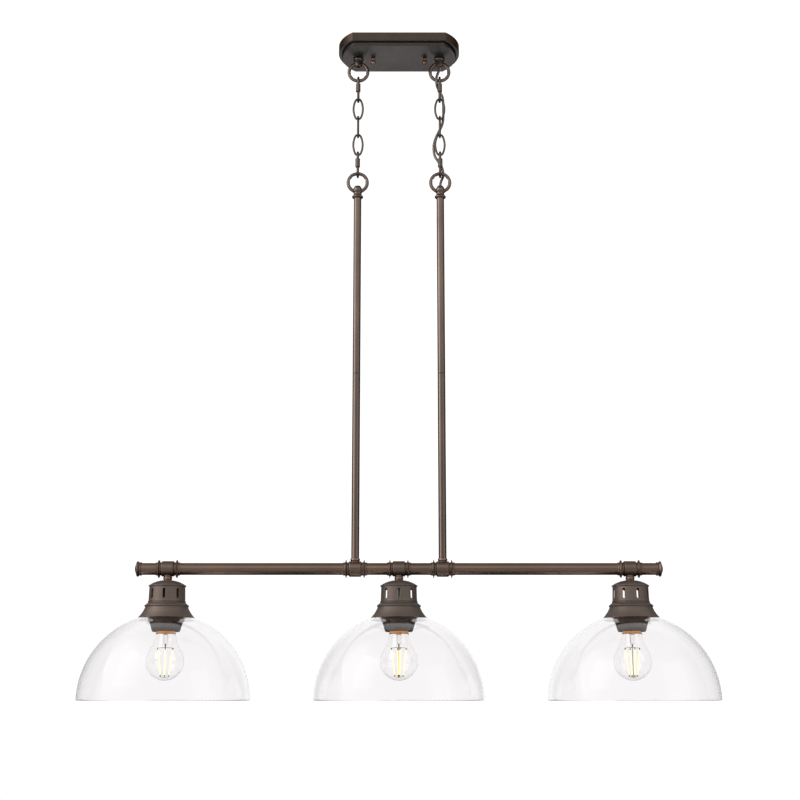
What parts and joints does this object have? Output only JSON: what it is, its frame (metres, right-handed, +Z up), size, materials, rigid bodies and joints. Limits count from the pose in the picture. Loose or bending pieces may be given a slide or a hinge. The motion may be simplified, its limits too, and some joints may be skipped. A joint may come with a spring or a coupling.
{
  "type": "linear island pendant",
  "caption": "Linear island pendant: clear glass domes on a horizontal bar, hung by rods and chains from a canopy, rubbed bronze finish.",
  "frame": {"origin": "centre of the mounting strap's top face, on the ceiling, midway between the two outlet-box screw slots", "axes": "+Z up, +X along the bar towards the chain that carries the cord, +Y away from the viewer of the picture"},
  "size_m": [1.008, 0.27, 1.107],
  "materials": {
    "bronze": "satin rubbed bronze",
    "bronze_canopy": "satin rubbed bronze, browner side band",
    "bronze_tube": "satin rubbed bronze",
    "bronze_cast": "satin rubbed bronze, rubbed coppery edges",
    "bronze_chain": "satin rubbed bronze wire",
    "bronze_spun": "satin rubbed bronze, faint spinning lines",
    "bronze_ring": "satin rubbed bronze",
    "copper_bronze": "coppery rubbed bronze",
    "zinc_steel": "zinc plated steel",
    "green_screw": "green dyed zinc",
    "brass": "bright brass",
    "clear_glass": "clear",
    "bulb_glass": "clear",
    "filament": "yellow phosphor strip",
    "lampholder_plastic": "black moulded",
    "bushing_plastic": "black",
    "cord_jacket": "clear brown vinyl",
    "lead_insulation": "black vinyl",
    "connector_plastic": "orange moulded"
  },
  "bodies": {
    "canopy": {"canopy_pan": "bronze_canopy", "mounting_strap": "zinc_steel", "ground_screw": "green_screw", "canopy_studs": "zinc_steel", "loop_nuts": "zinc_steel", "canopy_leads": "lead_insulation", "wire_connectors": "connector_plastic", "canopy_cord_bushing": "bushing_plastic", "canopy_loop_left": "bronze_cast", "canopy_loop_right": "bronze_cast"},
    "knob_left": {"knob_left": "copper_bronze"},
    "knob_right": {"knob_right": "copper_bronze"},
    "right_link_1": {"right_link_1": "bronze_chain"},
    "right_link_2": {"right_link_2": "bronze_chain"},
    "right_link_3": {"right_link_3": "bronze_chain", "cord": "cord_jacket"},
    "right_link_4": {"right_link_4": "bronze_chain"},
    "right_link_5": {"right_link_5": "bronze_chain"},
    "left_link_1": {"left_link_1": "bronze_chain"},
    "left_link_2": {"left_link_2": "bronze_chain"},
    "left_link_3": {"left_link_3": "bronze_chain"},
    "left_link_4": {"left_link_4": "bronze_chain"},
    "left_link_5": {"left_link_5": "bronze_chain"},
    "bulb_left": {"bulb_glass_left": "bulb_glass", "bulb_base_left": "brass", "bulb_filaments_left": "filament"},
    "bulb_centre": {"bulb_glass_centre": "bulb_glass", "bulb_base_centre": "brass", "bulb_filaments_centre": "filament"},
    "bulb_right": {"bulb_glass_right": "bulb_glass", "bulb_base_right": "brass", "bulb_filaments_right": "filament"},
    "fixture": {"lamp_leads": "lead_insulation", "rod_joiners": "zinc_steel", "rod_collars": "bronze", "rod_feet": "copper_bronze", "bar_tubes": "bronze_tube", "end_caps": "bronze", "rod_cord_bushing": "bushing_plastic", "lamp_tees": "bronze", "lamp_couplings": "copper_bronze", "lamp_nipples": "zinc_steel", "lampholders": "lampholder_plastic", "lampholder_shells": "brass", "retaining_rings": "bronze_ring", "rod_loop_left": "bronze_cast", "rod_left": "bronze_tube", "rod_tee_left": "bronze", "rod_loop_right": "bronze_cast", "rod_right": "bronze_tube", "rod_tee_right": "bronze", "vented_cap_left": "bronze_spun", "shade_holder_left": "bronze_spun", "glass_shade_left": "clear_glass", "vented_cap_centre": "bronze_spun", "shade_holder_centre": "bronze_spun", "glass_shade_centre": "clear_glass", "vented_cap_right": "bronze_spun", "shade_holder_right": "bronze_spun", "glass_shade_right": "clear_glass"}
  },
  "joints": [
    {"name": "swing", "type": "hinge", "parent": "canopy", "child": "right_link_1", "pos_m": [0.07, 0, -0.0621], "axis": [1, 0, 0], "range_deg": [-30, 30], "deforming": ["cord"]},
    {"name": "bar_sway", "type": "hinge", "parent": "right_link_1", "child": "right_link_2", "pos_m": [0.07, 0, -0.1001], "axis": [0, 1, 0], "range_deg": [-20, 20]},
    {"name": "bar_level", "type": "hinge", "parent": "right_link_2", "child": "fixture", "pos_m": [0.07, 0, -0.2371], "axis": [0, 1, 0], "range_deg": [-20.5, 20.5]},
    {"name": "left_swing", "type": "hinge", "parent": "canopy", "child": "left_link_1", "pos_m": [-0.07, 0, -0.0621], "axis": [1, 0, 0], "range_deg": [-30.5, 30.5]},
    {"name": "left_link_2_turn", "type": "hinge", "parent": "left_link_1", "child": "left_link_2", "pos_m": [-0.07, 0, -0.1001], "axis": [0, 1, 0], "range_deg": [-20.5, 20.5]},
    {"name": "right_link_3_turn", "type": "hinge", "parent": "right_link_2", "child": "right_link_3", "pos_m": [0.07, 0, -0.1287], "axis": [0, 1, 0], "range_deg": [-3, 3]},
    {"name": "right_link_4_turn", "type": "hinge", "parent": "right_link_3", "child": "right_link_4", "pos_m": [0.07, 0, -0.1653], "axis": [0, 1, 0], "range_deg": [-7, 7]},
    {"name": "right_link_5_turn", "type": "hinge", "parent": "right_link_4", "child": "right_link_5", "pos_m": [0.07, 0, -0.1939], "axis": [0, 1, 0], "range_deg": [-4, 4]},
    {"name": "left_link_3_turn", "type": "hinge", "parent": "left_link_2", "child": "left_link_3", "pos_m": [-0.07, 0, -0.1287], "axis": [0, 1, 0], "range_deg": [-3, 3]},
    {"name": "left_link_4_turn", "type": "hinge", "parent": "left_link_3", "child": "left_link_4", "pos_m": [-0.07, 0, -0.1653], "axis": [0, 1, 0], "range_deg": [-7, 7]},
    {"name": "left_link_5_turn", "type": "hinge", "parent": "left_link_4", "child": "left_link_5", "pos_m": [-0.07, 0, -0.1939], "axis": [0, 1, 0], "range_deg": [-4, 4]},
    {"name": "knob_left_turn", "type": "hinge", "parent": "canopy", "child": "knob_left", "pos_m": [-0.04445, 0, 0], "axis": [0, 0, 1], "continuous": true},
    {"name": "knob_right_turn", "type": "hinge", "parent": "canopy", "child": "knob_right", "pos_m": [0.04445, 0, 0], "axis": [0, 0, 1], "continuous": true},
    {"name": "bulb_left_turn", "type": "hinge", "parent": "fixture", "child": "bulb_left", "pos_m": [-0.369, 0, 0], "axis": [0, 0, 1], "continuous": true},
    {"name": "bulb_centre_turn", "type": "hinge", "parent": "fixture", "child": "bulb_centre", "pos_m": [0, 0, 0], "axis": [0, 0, 1], "continuous": true},
    {"name": "bulb_right_turn", "type": "hinge", "parent": "fixture", "child": "bulb_right", "pos_m": [0.369, 0, 0], "axis": [0, 0, 1], "continuous": true}
  ],
  "couplings": [
    {"joint": "left_swing", "follows": "swing", "ratio": 1},
    {"joint": "bar_level", "follows": "bar_sway", "ratio": -1},
    {"joint": "left_link_2_turn", "follows": "bar_sway", "ratio": 1},
    {"joint": "right_link_4_turn", "follows": "right_link_3_turn", "ratio": -2.28},
    {"joint": "right_link_5_turn", "follows": "right_link_3_turn", "ratio": 1.28},
    {"joint": "left_link_4_turn", "follows": "left_link_3_turn", "ratio": -2.28},
    {"joint": "left_link_5_turn", "follows": "left_link_3_turn", "ratio": 1.28}
  ]
}
